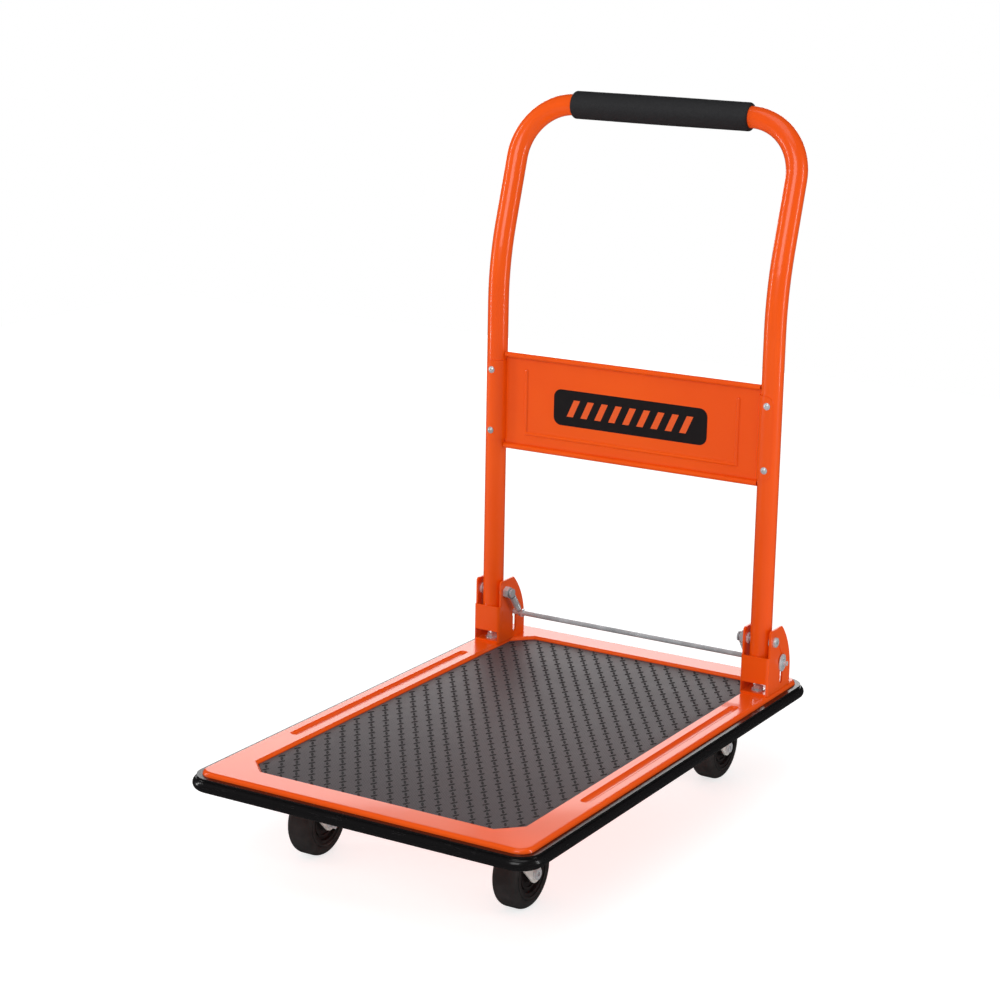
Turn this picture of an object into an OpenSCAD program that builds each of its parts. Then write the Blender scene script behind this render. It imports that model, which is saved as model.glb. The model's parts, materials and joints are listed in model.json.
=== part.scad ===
// Folding platform cart: pressed steel deck on two rigid and two swivel casters,
// with a tubular handle that folds forward over the deck about two hinge brackets.
// +X is the right-hand side, +Y points at the handle, +Z is up. The origin lies on the
// floor under the centre of the deck, and all sizes are in millimetres.

/* [Platform] */
// Width of the pressed deck, without the bumper
deck_w = 408; // [360:4:500]
// Length of the pressed deck, without the bumper
deck_l = 650; // [540:5:790]
// Sheet thickness of the deck
sheet_t = 1.2; // [1:0.1:1.6]
// Depth of the deck's folded skirt
skirt_h = 18.5; // [17:0.5:22]
// Plan radius of the deck's corners
deck_corner_r = 17; // [12:1:24]
// Radius of the fold between deck and skirt
deck_edge_r = 4.6; // [4.4:0.2:4.8]
// Depth of the recess that holds the mat
recess_h = 5; // [4:0.5:6]
// Width of the sloping edge round the recess
recess_edge = 3; // [2:0.5:4]
// Length of each pressed stiffening groove
groove_l = 368; // [300:4:440]
// Depth of each pressed groove
groove_depth = 3; // [2:0.5:4]
// Radius of the press tool that forms a groove
groove_r = 7.5; // [6:0.5:9]
// Distance from the deck's side edge to a groove's centre line
groove_inset = 19; // [16:1:24]
// Distance that the grooves sit back from the deck's middle
groove_back = 6; // [0:1:10]
// Thickness of the deck mat
mat_t = 2; // [1.5:0.5:4]
// Width of the painted border round the mat
mat_margin = 38; // [34:1:46]
// Length of the mat's clipped corners
mat_clip = 22; // [16:1:30]
// Distance that the bumper stands out from the skirt
bumper_out = 11; // [9:0.5:14]
// Radius of the bumper's rounded nose
bumper_nose_r = 6.6; // [5.6:0.2:7.2]

/* [Under the deck] */
// Depth of the cross members that carry the casters
rib_h = 13.8; // [11:0.2:18]
// Width of a cross member's web
rib_w = 90; // [88:1:110]
// Width of a cross member's weld flanges
rib_flange = 12; // [10:1:16]
// Sheet thickness of the cross members
rib_t = 1.5; // [1.2:0.1:2]
// Distance from the deck's side edge to a cross member's end
rib_end_gap = 32; // [28:1:44]

/* [Casters] */
// Diameter of the wheels
wheel_d = 80; // [70:1:100]
// Width of the wheels
wheel_w = 29; // [24:1:36]
// Height from the top of a wheel to the top of its caster plate
caster_head = 17; // [16:0.5:24]
// Distance from the deck's side edge to the wheel's middle
wheel_inset = 74; // [70:1:90]
// Distance from the deck's front end to the front axle
front_axle_inset = 118; // [90:1:150]
// Distance from the deck's rear end to the rear axle at rest
rear_axle_inset = 75; // [70:1:110]
// Trail of the swivel casters, from kingpin to axle
trail = 28; // [22:1:34]
// Thickness of the caster plates
plate_t = 2.5; // [2:0.1:3]
// Width of the caster plates
plate_w = 62; // [56:1:66]
// Length of the caster plates
plate_l = 84; // [76:1:86]
// Hole spacing of the caster plates across the cart
plate_hole_x = 50; // [48:1:52]
// Hole spacing of the caster plates along the cart
plate_hole_y = 66; // [60:1:68]
// Sheet thickness of the caster forks
fork_t = 2.2; // [2:0.1:2.6]
// Radius of the axle bolts
axle_r = 4; // [3.5:0.1:5]
// Radius of the swivel casters' kingpins
kingpin_r = 5; // [4:0.5:6]

/* [Handle] */
// Outside radius of the handle tube
tube_r = 12.7; // [11:0.1:14]
// Wall thickness of the handle tube
tube_wall = 1.5; // [1.2:0.1:2]
// Distance from the deck's side edge to a tube's axis
tube_inset = 20; // [19:0.5:26]
// Distance from the deck's rear end to the tubes' axis
tube_back = 74; // [70:1:90]
// Length of the tube below the pivot
foot_l = 24; // [20:1:27]
// Length of the upright tube above the pivot
leg_l = 365; // [320:5:430]
// Angle at which the upper handle leans back
lean = 17; // [10:1:22]
// Radius of the bend that starts the lean
lean_r = 320; // [240:10:380]
// Length of the straight leaning tube
lean_l = 82; // [60:1:110]
// Radius of the two top bends
top_r = 68; // [56:1:80]
// Outside radius of the grip sleeve
grip_r = 17; // [16:0.5:19]

/* [Cross panel] */
// Height of the panel with its rolled hems
panel_h = 120; // [100:2:144]
// Height of the panel's middle above the pivot
panel_mid = 245; // [200:5:300]
// Sheet thickness of the panel
panel_t = 1.2; // [1:0.1:1.5]
// Radius of the rolled hems
hem_r = 3.2; // [2.6:0.2:4]
// Height of the tabs that wrap the tubes
tab_h = 98; // [80:2:116]
// Angle that a tab reaches past the front of its tube
tab_past = 30; // [20:5:45]
// Spacing of the rivets on each tab
rivet_gap = 75.5; // [60:0.5:80]
// Radius of the rivet heads
rivet_head_r = 4.2; // [3:0.1:4.6]
// Radius of the rivet shanks
rivet_r = 2; // [1.6:0.1:2.4]
// Width of the embossed border
bead_w = 284; // [240:4:300]
// Height of the embossed border
bead_h = 78; // [66:2:88]
// Width of the label
label_w = 206; // [160:2:230]
// Height of the label
label_h = 44; // [36:1:50]

/* [Hinge brackets] */
// Outside width of a bracket
bracket_w = 36; // [35:0.5:44]
// Depth of a bracket from its front face
bracket_d = 62.6; // [58:0.2:72]
// Height of a bracket
bracket_h = 79.5; // [77:0.5:87]
// Sheet thickness of a bracket
bracket_t = 2.3; // [2:0.1:2.6]
// Height of the front web
web_h = 47; // [41:1:49]
// Height of the window in the front web
window_h = 12; // [10:1:16]
// Height of the pivot above the deck
pivot_h = 64; // [61:1:69]
// Radius of the pivot bolts
pivot_r = 4; // [3.5:0.1:5]
// Gap between the front web and the upright tube
web_gap = 0.6; // [0.4:0.1:1.5]
// Distance of the lock bar behind the pivot
bar_back = 23; // [21:1:26]
// Distance of the lock bar below the pivot
bar_drop = 31; // [30:1:34]
// Radius of the lock bar
bar_r = 3; // [2.5:0.1:3.4]
// Travel of the lock bar down its slot
bar_travel = 22; // [16:1:22]

/* [Hidden] */
$fn = 64;

// Colours
orange = [0.93, 0.33, 0.05];
black = [0.07, 0.07, 0.08];
mat_grey = [0.26, 0.25, 0.26];
zinc = [0.76, 0.77, 0.78];
wheel_black = [0.12, 0.11, 0.11];

// Clearances and small standard sizes
running = 0.06;
loose = 0.3;
tiny = 0.01;
small_fn = 32;
m8_head_r = 6.5;
m8_head_h = 5.3;
m8_nut_r = 7.5;
m8_nut_h = 6.5;
m8_washer_r = 8;
m8_washer_h = 1.6;
m8_r = 4;
m6_r = 3;
m6_head_r = 5.77;
m6_head_h = 4;
m6_nut_h = 5;

// Heights
wheel_r = wheel_d / 2;
plate_top = wheel_d + caster_head;
deck_under = plate_top + rib_h;
recess_floor = deck_under + sheet_t;
deck_top = recess_floor + recess_h;
pivot_z = deck_top + pivot_h;

// Platform places
groove_x = deck_w / 2 - groove_inset;
groove_centre_up = groove_r - groove_depth;
mat_w = deck_w - 2 * mat_margin;
mat_l = deck_l - 2 * mat_margin;
recess_gap = 0.6;
bumper_lip_drop = deck_edge_r + 0.1;
bumper_lip_t = 2.8;
bumper_lip_w = 6.4;
bumper_wall = 4;
bumper_hook = 3;
bumper_hook_t = 1.6;
bumper_h = skirt_h + loose + bumper_hook_t;
bumper_nose_drop = bumper_h - bumper_nose_r;
bumper_seam_r = 0.9;

// Caster places
wheel_x = deck_w / 2 - wheel_inset;
front_y = -deck_l / 2 + front_axle_inset;
rear_y = deck_l / 2 - rear_axle_inset;
kingpin_y = rear_y - trail;
hub_w = wheel_w + 2;
fork_inner = hub_w / 2 + 0.5;
fork_outer = fork_inner + fork_t;
bush_r = 7;
hub_r = 0.66 * wheel_r;
tyre_shoulder_r = 8;
tyre_ring_gap = 3;
tyre_ring_r = 0.8;
crown_r = 25;
crown_gap = 3.6;
crown_bottom = wheel_d + crown_gap;
crown_t = 4.2;
crown_top = crown_bottom + crown_t;
race_gap = 2.6;
race_bottom = crown_top + race_gap;
ball_pitch_r = 18;
ball_r = 2.1;
ball_count = 14;
race_z = (crown_top + race_bottom) / 2;
kingpin_head_r = 9;
kingpin_head_h = 2.6;
leg_tip_r = 10;
leg_blend = 0.15;
axle_head_r = 6;
axle_head_h = 3.4;
axle_socket_r = 2.6;
axle_socket_h = 1.8;
rib_len = deck_w - 2 * rib_end_gap;

// Handle places
tube_x = deck_w / 2 - tube_inset;
tube_y = deck_l / 2 - tube_back;
tube_bore = tube_r - tube_wall;
lean_start = leg_l + foot_l;
bar_half = tube_x - top_r;
grip_half = bar_half;
band_w = 1;
band_rise = 0.02;
grip_round = 2;

// Cross panel places
panel_z = pivot_z + panel_mid;
panel_half = tube_x - tube_r - 0.5;
tab_in_r = tube_r + 0.04;
tab_out_r = tab_in_r + panel_t;
tab_corner = 9;
bead_r = 2.4;
bead_rise = 1.5;
label_t = 0.3;
label_corner = 4;
rivet_clear = 0.05;

// Bracket places
bracket_x = tube_x;
web_back = tube_r + web_gap;
bracket_front = web_back + bracket_t;
bracket_y = tube_y - bracket_front;
bracket_bend_r = 3.5;
setback = 4.4;
side_gap = bracket_w / 2 - bracket_t - tube_r;
spacer_r = 7;
spacer_t = side_gap - loose;
floor_t = 2.5;
strip_h = 3;
back_arc_r = 82;
back_straight_h = 18;
top_corner_r = 4;
bolt_ys = [bracket_front - 1, bracket_front + 35];
slot_r = bar_r + 0.7;
pocket_r = slot_r + 2.8;
pocket_back = 8;
pocket_drop = 11;
pocket_press = 0.7;
pivot_clear = 0.06;
bar_y = tube_y + bar_back;
bar_z = pivot_z - bar_drop;
bar_half_l = bracket_x + bracket_w / 2 + 7;
bar_washer_r = 9;
bar_washer_t = 1.2;
clip_r = 6.2;
clip_t = 1;
clip_mouth = 3;
lug_w = 3;
lug_h = 9;

// Pivot bolt stack on the inner face of each bracket
button_r = 6;
button_h = 3.6;
button_round = button_h / 2;
socket_r = 2.4;
socket_h = 1.6;
anchor_groove_r = 3.2;
anchor_groove_w = 2.6;
anchor_flange_r = 5.6;
anchor_flange_t = 1.6;
inner_face = bracket_x - bracket_w / 2;
nut_inner = inner_face - m8_nut_h;
anchor_x = nut_inner - anchor_groove_w / 2;

// Return springs
wire_r = 0.7;
coil_r = 3.6;
hook_r = bar_r + wire_r + 0.2;
spring_len = sqrt(bar_back * bar_back + bar_drop * bar_drop);
spring_tilt = atan2(bar_back, bar_drop);
coil_start = m8_nut_r + 0.8;
coil_len = spring_len - 2 * coil_start;

// ---------- Shapes that repeat ----------

module rounded_rect(w, l, r) {
    square([w - 2 * r, l], center = true);
    square([w, l - 2 * r], center = true);
    for (x = [-1, 1], y = [-1, 1])
        translate([x * (w / 2 - r), y * (l / 2 - r)])
            circle(r);
}

// Slab with its top at z = 0, plan corners rc and a rounded top edge re
module soft_slab(w, l, h, rc, re) {
    translate([0, 0, -h])
        linear_extrude(h - re)
            rounded_rect(w, l, rc);
    translate([0, 0, -h])
        linear_extrude(h)
            rounded_rect(w - 2 * re, l - 2 * re, rc - re);
    for (s = [-1, 1]) {
        translate([s * (w / 2 - re), 0, -re])
            rotate([90, 0, 0])
                cylinder(h = l - 2 * rc, r = re, center = true);
        translate([0, s * (l / 2 - re), -re])
            rotate([0, 90, 0])
                cylinder(h = w - 2 * rc, r = re, center = true);
    }
    for (x = [-1, 1], y = [-1, 1])
        translate([x * (w / 2 - rc), y * (l / 2 - rc), -re])
            rotate_extrude()
                intersection() {
                    translate([rc - re, 0])
                        circle(re);
                    translate([0, -re])
                        square([rc, 2 * re]);
                }
}

// Straight rod along Y with round ends
module capsule_y(len, r) {
    rotate([90, 0, 0])
        cylinder(h = len, r = r, center = true);
    for (s = [-1, 1])
        translate([0, s * len / 2, 0])
            sphere(r);
}

// Straight rod along Z with round ends
module capsule_z(len, r) {
    cylinder(h = len, r = r, center = true);
    for (s = [-1, 1])
        translate([0, 0, s * len / 2])
            sphere(r);
}

module hex_prism(r, h) {
    cylinder(h = h, r = r, $fn = 6);
}

// Hex bolt pointing down from z = 0, with its head above
module hex_bolt(r, len, head_r, head_h) {
    translate([0, 0, -len])
        cylinder(h = len + head_h / 2, r = r);
    hex_prism(head_r, head_h);
}

module hex_nut(r, bore, h) {
    difference() {
        hex_prism(r, h);
        translate([0, 0, -1])
            cylinder(h = h + 2, r = bore);
    }
}

// Cylinder along X, from x = x0 to x = x1
module rod_x(x0, x1, r) {
    translate([x0, 0, 0])
        rotate([0, 90, 0])
            cylinder(h = x1 - x0, r = r);
}

// Place something at the four casters' plate holes
module at_plate_holes() {
    for (x = [-1, 1], y = [front_y, kingpin_y], i = [-1, 1], j = [-1, 1])
        translate([x * wheel_x + i * plate_hole_x / 2, y + j * plate_hole_y / 2, 0])
            children();
}

module both_sides() {
    children();
    mirror([1, 0, 0])
        children();
}

// ---------- Platform ----------

module groove_tools(r) {
    for (s = [-1, 1])
        translate([s * groove_x, groove_back, groove_centre_up])
            capsule_y(groove_l - 2 * groove_r, r);
}

// Plan of the mat, grown by a margin all round
module mat_plan(grow) {
    x = mat_w / 2 + grow;
    y = mat_l / 2 + grow;
    c = mat_clip + grow * (2 - sqrt(2));
    polygon([[x - c, -y], [x, c - y], [x, y - c], [x - c, y],
             [c - x, y], [-x, y - c], [-x, c - y], [c - x, -y]]);
}

// Space over the recess, with its sloping edge: grow is added all round and down
module recess_space(grow) {
    straight_h = recess_h - recess_edge;
    translate([0, 0, -recess_h - grow])
        linear_extrude(2 * recess_h)
            mat_plan(recess_gap + grow);
    hull() {
        translate([0, 0, -recess_h + straight_h - grow])
            linear_extrude(tiny)
                mat_plan(recess_gap + grow);
        translate([0, 0, -grow])
            linear_extrude(tiny)
                mat_plan(recess_gap + grow + recess_edge);
    }
}

module deck_pan() {
    hole_r = m8_r + loose;
    color(orange)
        translate([0, 0, deck_top])
            difference() {
                union() {
                    difference() {
                        soft_slab(deck_w, deck_l, skirt_h, deck_corner_r, deck_edge_r);
                        difference() {
                            translate([0, 0, -sheet_t])
                                soft_slab(deck_w - 2 * sheet_t, deck_l - 2 * sheet_t, skirt_h,
                                          deck_corner_r - sheet_t, deck_edge_r - sheet_t);
                            recess_space(sheet_t);
                        }
                    }
                    intersection() {
                        groove_tools(groove_r + sheet_t);
                        translate([0, 0, -rib_h / 2])
                            cube([deck_w - 2 * deck_edge_r, deck_l, rib_h], center = true);
                    }
                }
                groove_tools(groove_r);
                recess_space(0);
                for (s = [-1, 1], y = bolt_ys)
                    translate([s * bracket_x, bracket_y + y, -rib_h])
                        cylinder(h = 2 * rib_h, r = hole_r);
            }
}

module deck_mat() {
    color(mat_grey)
        translate([0, 0, recess_floor])
            linear_extrude(mat_t)
                mat_plan(0);
}

// Section of the bumper: x runs out from the skirt, y is 0 at the deck's top
module bumper_section() {
    difference() {
        union() {
            translate([0, -bumper_h])
                square([bumper_wall, bumper_h - bumper_lip_drop]);
            translate([0, -bumper_lip_drop - bumper_lip_t])
                square([bumper_lip_w, bumper_lip_t]);
            intersection() {
                translate([bumper_out - bumper_nose_r, -bumper_nose_drop])
                    circle(bumper_nose_r);
                translate([0, -bumper_h])
                    square([bumper_out, bumper_h]);
            }
            translate([-bumper_hook, -bumper_h])
                square([bumper_hook + bumper_wall, bumper_hook_t]);
        }
        translate([bumper_lip_w + bumper_seam_r / 2, -bumper_lip_drop - bumper_lip_t])
            circle(bumper_seam_r, $fn = small_fn);
    }
}

module edge_bumper() {
    color(black)
        translate([0, 0, deck_top])
            for (s = [0, 180]) {
                rotate([0, 0, s])
                    rotate([90, 0, 0])
                        linear_extrude(deck_l - 2 * deck_corner_r, center = true)
                            translate([deck_w / 2, 0])
                                bumper_section();
                rotate([0, 0, 90 + s])
                    rotate([90, 0, 0])
                        linear_extrude(deck_w - 2 * deck_corner_r, center = true)
                            translate([deck_l / 2, 0])
                                bumper_section();
                rotate([0, 0, s]) {
                    translate([deck_w / 2 - deck_corner_r, deck_l / 2 - deck_corner_r, 0])
                        rotate_extrude(angle = 90)
                            translate([deck_corner_r, 0])
                                bumper_section();
                    translate([deck_corner_r - deck_w / 2, deck_l / 2 - deck_corner_r, 0])
                        rotate([0, 0, 90])
                            rotate_extrude(angle = 90)
                                translate([deck_corner_r, 0])
                                    bumper_section();
                }
            }
}

// Hat-section cross member, with holes for two casters
module cross_member(y) {
    color(orange)
        difference() {
            translate([0, y, 0])
                rotate([90, 0, 90])
                    linear_extrude(rib_len, center = true) {
                        translate([-rib_w / 2, plate_top])
                            square([rib_w, rib_t]);
                        for (s = [-1, 1]) {
                            translate([s * (rib_w - rib_t) / 2 - rib_t / 2, plate_top])
                                square([rib_t, rib_h]);
                            translate([s * (rib_w + rib_flange) / 2 - rib_flange / 2 - s * rib_t / 2,
                                       deck_under - rib_t])
                                square([rib_flange, rib_t]);
                        }
                    }
            at_plate_holes()
                translate([0, 0, plate_top - 1])
                    cylinder(h = rib_t + 2, r = m6_r + loose);
        }
}

module front_cross_member() {
    cross_member(front_y);
}

module rear_cross_member() {
    cross_member(kingpin_y);
}

// ---------- Hinge brackets ----------

// Outline of a side plate: x is the distance back from the front face, y is the height
module side_outline() {
    arc_x = bracket_d - back_arc_r;
    difference() {
        union() {
            square([bracket_d, back_straight_h]);
            intersection() {
                square([bracket_d, bracket_h]);
                translate([arc_x, back_straight_h])
                    circle(back_arc_r, $fn = 128);
            }
        }
        translate([-tiny, web_h])
            square([setback + tiny, bracket_h]);
        translate([setback, bracket_h - top_corner_r])
            difference() {
                translate([-1, 0])
                    square([top_corner_r + 1, top_corner_r + 1]);
                translate([top_corner_r, 0])
                    circle(top_corner_r);
            }
    }
}

// Upright slot in which the lock bar slides
module slot_outline() {
    x = bracket_front + bar_back;
    y = pivot_h - bar_drop;
    translate([x - slot_r, y - bar_travel])
        square([2 * slot_r, bar_travel]);
    for (end = [y - bar_travel, y])
        translate([x, end])
            circle(slot_r);
}

// Pressed pocket that leans forward from the top of the slot
module pocket_outline() {
    x = bracket_front + bar_back;
    y = pivot_h - bar_drop;
    dx = pocket_back - bar_back;
    dy = bar_drop - pocket_drop;
    pocket_l = sqrt(dx * dx + dy * dy);
    for (end = [[x, y], [x + dx, y + dy]])
        translate(end)
            circle(pocket_r);
    translate([x, y])
        rotate([0, 0, atan2(-dx, dy)])
            translate([-pocket_r, 0])
                square([2 * pocket_r, pocket_l]);
}

// Folded channel seen from above, open at the back
module channel_plan() {
    difference() {
        union() {
            translate([-bracket_w / 2, bracket_bend_r])
                square([bracket_w, bracket_d - bracket_bend_r]);
            translate([-bracket_w / 2 + bracket_bend_r, 0])
                square([bracket_w - 2 * bracket_bend_r, bracket_d]);
            for (s = [-1, 1])
                translate([s * (bracket_w / 2 - bracket_bend_r), bracket_bend_r])
                    circle(bracket_bend_r);
        }
        translate([-bracket_w / 2 + bracket_t, bracket_t])
            square([bracket_w - 2 * bracket_t, bracket_d]);
    }
}

module right_hinge_bracket() {
    hole_r = m8_r + loose;
    color(orange)
        translate([bracket_x, bracket_y, deck_top])
            difference() {
                union() {
                    intersection() {
                        linear_extrude(bracket_h)
                            channel_plan();
                        rotate([90, 0, 90])
                            linear_extrude(2 * bracket_w, center = true)
                                side_outline();
                    }
                    intersection() {
                        translate([-bracket_w / 2, 0, 0])
                            cube([bracket_w, bracket_d, floor_t]);
                        linear_extrude(bracket_h) {
                            channel_plan();
                            translate([-bracket_w / 2 + bracket_t, bracket_t])
                                square([bracket_w - 2 * bracket_t, bracket_d]);
                        }
                    }
                }
                translate([-bracket_w / 2 + bracket_t, -1, strip_h])
                    cube([bracket_w - 2 * bracket_t, bracket_t + 1 + tiny, window_h]);
                rotate([90, 0, 90])
                    linear_extrude(2 * bracket_w, center = true)
                        slot_outline();
                for (s = [-1, 1])
                    translate([s * bracket_w / 2, 0, 0])
                        rotate([90, 0, 90])
                            linear_extrude(2 * pocket_press, center = true)
                                pocket_outline();
                translate([0, bracket_front, pivot_h])
                    rod_x(-bracket_w, bracket_w, pivot_r + pivot_clear);
                for (y = bolt_ys)
                    translate([0, y, -1])
                        cylinder(h = floor_t + 2, r = hole_r);
            }
}

module left_hinge_bracket() {
    mirror([1, 0, 0])
        right_hinge_bracket();
}

module bracket_bolts() {
    color(zinc)
        both_sides()
            for (y = bolt_ys)
                translate([bracket_x, bracket_y + y, deck_top + floor_t]) {
                    difference() {
                        cylinder(h = m8_washer_h, r = m8_washer_r);
                        translate([0, 0, -1])
                            cylinder(h = m8_washer_h + 2, r = m8_r - 1);
                    }
                    translate([0, 0, m8_washer_h])
                        hex_bolt(m8_r, floor_t + sheet_t + m8_washer_h + m8_nut_h + 1,
                                 m8_head_r, m8_head_h);
                }
}

module bracket_nuts() {
    color(zinc)
        both_sides()
            for (y = bolt_ys)
                translate([bracket_x, bracket_y + y, deck_top - sheet_t - m8_nut_h])
                    hex_nut(m8_nut_r, m8_r, m8_nut_h);
}

// Bolt through the bracket and the tube, with a grooved inner end for the spring hook
module pivot_bolts() {
    outer_face = bracket_x + bracket_w / 2;
    groove_end = nut_inner - anchor_groove_w;
    color(zinc)
        both_sides()
            translate([0, tube_y, pivot_z])
                difference() {
                    rotate([0, 90, 0])
                        rotate_extrude() {
                            translate([0, nut_inner])
                                square([pivot_r, outer_face - nut_inner]);
                            translate([0, groove_end])
                                square([anchor_groove_r, anchor_groove_w]);
                            translate([0, groove_end - anchor_flange_t])
                                square([anchor_flange_r, anchor_flange_t]);
                            translate([0, outer_face])
                                square([button_r, button_h - button_round]);
                            translate([0, outer_face])
                                square([button_r - button_round, button_h]);
                            translate([button_r - button_round, outer_face + button_h - button_round])
                                circle(button_round);
                        }
                    translate([outer_face + button_h - socket_h, 0, 0])
                        rotate([0, 90, 0])
                            hex_prism(socket_r, socket_h + 1);
                }
}

module pivot_nuts() {
    color(zinc)
        both_sides()
            translate([nut_inner, tube_y, pivot_z])
                rotate([0, 90, 0])
                    hex_nut(m8_nut_r, pivot_r, m8_nut_h);
}

module pivot_spacers() {
    color(zinc)
        both_sides()
            for (x = [bracket_x - bracket_w / 2 + bracket_t, bracket_x + bracket_w / 2 - bracket_t - spacer_t])
                translate([x, tube_y, pivot_z])
                    difference() {
                        rod_x(0, spacer_t, spacer_r);
                        rod_x(-1, spacer_t + 1, pivot_r);
                    }
}

// Extension spring from the pivot bolt's groove to the lock bar
module right_return_spring() {
    color(zinc)
        translate([anchor_x, tube_y, pivot_z]) {
            for (d = [0, spring_len])
                rotate([spring_tilt, 0, 0])
                    translate([0, 0, -d])
                        rotate([0, 90, 0])
                            rotate_extrude()
                                translate([hook_r, 0])
                                    circle(wire_r, $fn = small_fn);
            rotate([spring_tilt, 0, 0])
                translate([0, 0, -coil_start - coil_len])
                    difference() {
                        union() {
                            cylinder(h = coil_len, r = coil_r);
                            translate([0, 0, -coil_start + hook_r])
                                cylinder(h = coil_len + 2 * (coil_start - hook_r), r = wire_r);
                        }
                        translate([0, 0, 1])
                            cylinder(h = coil_len - 2, r = coil_r - 2 * wire_r);
                    }
        }
}

module left_return_spring() {
    mirror([1, 0, 0])
        right_return_spring();
}

// ---------- Handle ----------

module tube_ring() {
    difference() {
        circle(tube_r);
        circle(tube_bore);
    }
}

module tube_straight(len) {
    linear_extrude(len)
        tube_ring();
}

// Bend that starts along +Z and curves towards +Y
module tube_bend(r, angle) {
    translate([0, r, 0])
        rotate([90, 0, -90])
            rotate_extrude(angle = angle, $fn = 128)
                translate([r, 0])
                    tube_ring();
}

// Fine band round the tube where a bend runs out
module bend_band() {
    linear_extrude(band_w, center = true)
        difference() {
            circle(tube_r + band_rise);
            circle(tube_bore - band_rise);
        }
}

// Right half of the handle, from the tube's foot to the middle of the top bar
module half_handle() {
    translate([tube_x, tube_y, pivot_z - foot_l]) {
        tube_straight(lean_start);
        translate([0, 0, lean_start]) {
            tube_bend(lean_r, lean);
            translate([0, lean_r * (1 - cos(lean)), lean_r * sin(lean)])
                rotate([-lean, 0, 0]) {
                    bend_band();
                    translate([0, 0, band_rise])
                        tube_straight(lean_l - band_rise);
                    translate([0, 0, lean_l]) {
                        rotate([0, 0, 90])
                            tube_bend(top_r, 90);
                        translate([-top_r, 0, top_r])
                            rotate([0, -90, 0])
                                tube_straight(bar_half);
                    }
                }
        }
    }
}

module at_rivets() {
    for (s = [-1, 1], z = [-1, 1])
        translate([s * tube_x, tube_y, panel_z + z * rivet_gap / 2])
            rotate([90, 0, 0])
                children();
}

module handle_tube() {
    color(orange)
        difference() {
            both_sides()
                half_handle();
            both_sides()
                translate([0, tube_y, pivot_z])
                    rod_x(tube_x - bracket_w, tube_x + bracket_w, pivot_r + running);
            at_rivets()
                cylinder(h = 2 * tube_r, r = rivet_r + rivet_clear);
        }
}

// Frame of the leaning top: origin at the middle of the top bar
module at_top_bar() {
    top = lean_l + top_r;
    y = lean_r * (1 - cos(lean)) + top * sin(lean);
    z = lean_r * sin(lean) + top * cos(lean);
    translate([0, tube_y + y, pivot_z + leg_l + z])
        rotate([-lean, 0, 0])
            children();
}

module grip_sleeve() {
    color(black)
        at_top_bar()
            rotate([0, 90, 0])
                difference() {
                    union() {
                        cylinder(h = 2 * (grip_half - grip_round), r = grip_r, center = true);
                        cylinder(h = 2 * grip_half, r = grip_r - grip_round, center = true);
                        for (s = [-1, 1])
                            translate([0, 0, s * (grip_half - grip_round)])
                                rotate_extrude()
                                    translate([grip_r - grip_round, 0])
                                        circle(grip_round, $fn = small_fn);
                    }
                    cylinder(h = 2 * grip_half + 2, r = tube_r, center = true);
                }
}

// ---------- Cross panel ----------

// Embossed border: two upright beads joined along their lower ends
module panel_beads(r) {
    x = bead_w / 2;
    translate([0, bead_r - bead_rise, 0]) {
        for (s = [-1, 1])
            translate([s * x, 0, 0])
                capsule_z(bead_h, r);
        translate([0, 0, -bead_h / 2])
            rotate([0, 90, 0])
                cylinder(h = bead_w, r = r, center = true);
    }
}

// Tab that wraps the inner and front sides of the right-hand tube
module panel_tab() {
    past = tab_out_r * sin(tab_past);
    intersection() {
        translate([0, 0, -tab_h / 2])
            rotate([0, 0, 180])
                rotate_extrude(angle = 90 + tab_past)
                    translate([tab_in_r, 0])
                        square([panel_t, tab_h]);
        rotate([90, 0, 0])
            linear_extrude(2 * tab_out_r, center = true)
                union() {
                    translate([-tab_out_r, -tab_h / 2])
                        square([tab_out_r + past - tab_corner, tab_h]);
                    translate([-tab_out_r, tab_corner - tab_h / 2])
                        square([tab_out_r + past, tab_h - 2 * tab_corner]);
                    for (s = [-1, 1])
                        translate([past - tab_corner, s * (tab_h / 2 - tab_corner)])
                            circle(tab_corner);
                }
    }
}

module cross_panel() {
    flat_h = panel_h - 2 * hem_r;
    color(orange)
        translate([0, tube_y, panel_z])
            difference() {
                union() {
                    translate([0, panel_t / 2, 0])
                        cube([2 * panel_half, panel_t, flat_h], center = true);
                    panel_beads(bead_r);
                    both_sides()
                        translate([tube_x, 0, 0])
                            panel_tab();
                    for (s = [-1, 1])
                        translate([0, panel_t - hem_r, s * (panel_h / 2 - hem_r)])
                            rotate([0, 90, 0])
                                cylinder(h = 2 * panel_half, r = hem_r, center = true);
                }
                for (s = [-1, 1])
                    translate([0, panel_t - hem_r, s * (panel_h / 2 - hem_r)])
                        rotate([0, 90, 0])
                            cylinder(h = 2 * panel_half + 2, r = hem_r - panel_t, center = true);
                panel_beads(bead_r - panel_t);
                translate([-bead_w, panel_t, -panel_h / 2])
                    cube([2 * bead_w, bead_r, panel_h]);
                translate([0, -tube_y, -panel_z])
                    at_rivets()
                        cylinder(h = 2 * tube_r, r = rivet_r + rivet_clear);
            }
}

// Blind rivets: domed heads with a small centre hole
module panel_rivets() {
    dome = rivet_head_r * 1.25;
    rise = rivet_head_r * 0.5;
    color(zinc)
        at_rivets()
            translate([0, 0, tab_out_r])
                difference() {
                    union() {
                        intersection() {
                            cylinder(h = rise, r = rivet_head_r);
                            translate([0, 0, rise - dome])
                                sphere(dome);
                        }
                        translate([0, 0, -panel_t - 2 * tube_wall])
                            cylinder(h = panel_t + 2 * tube_wall + rise / 2, r = rivet_r);
                    }
                    translate([0, 0, rise / 3])
                        cylinder(h = rise, r = rivet_r / 2);
                }
}

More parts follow.
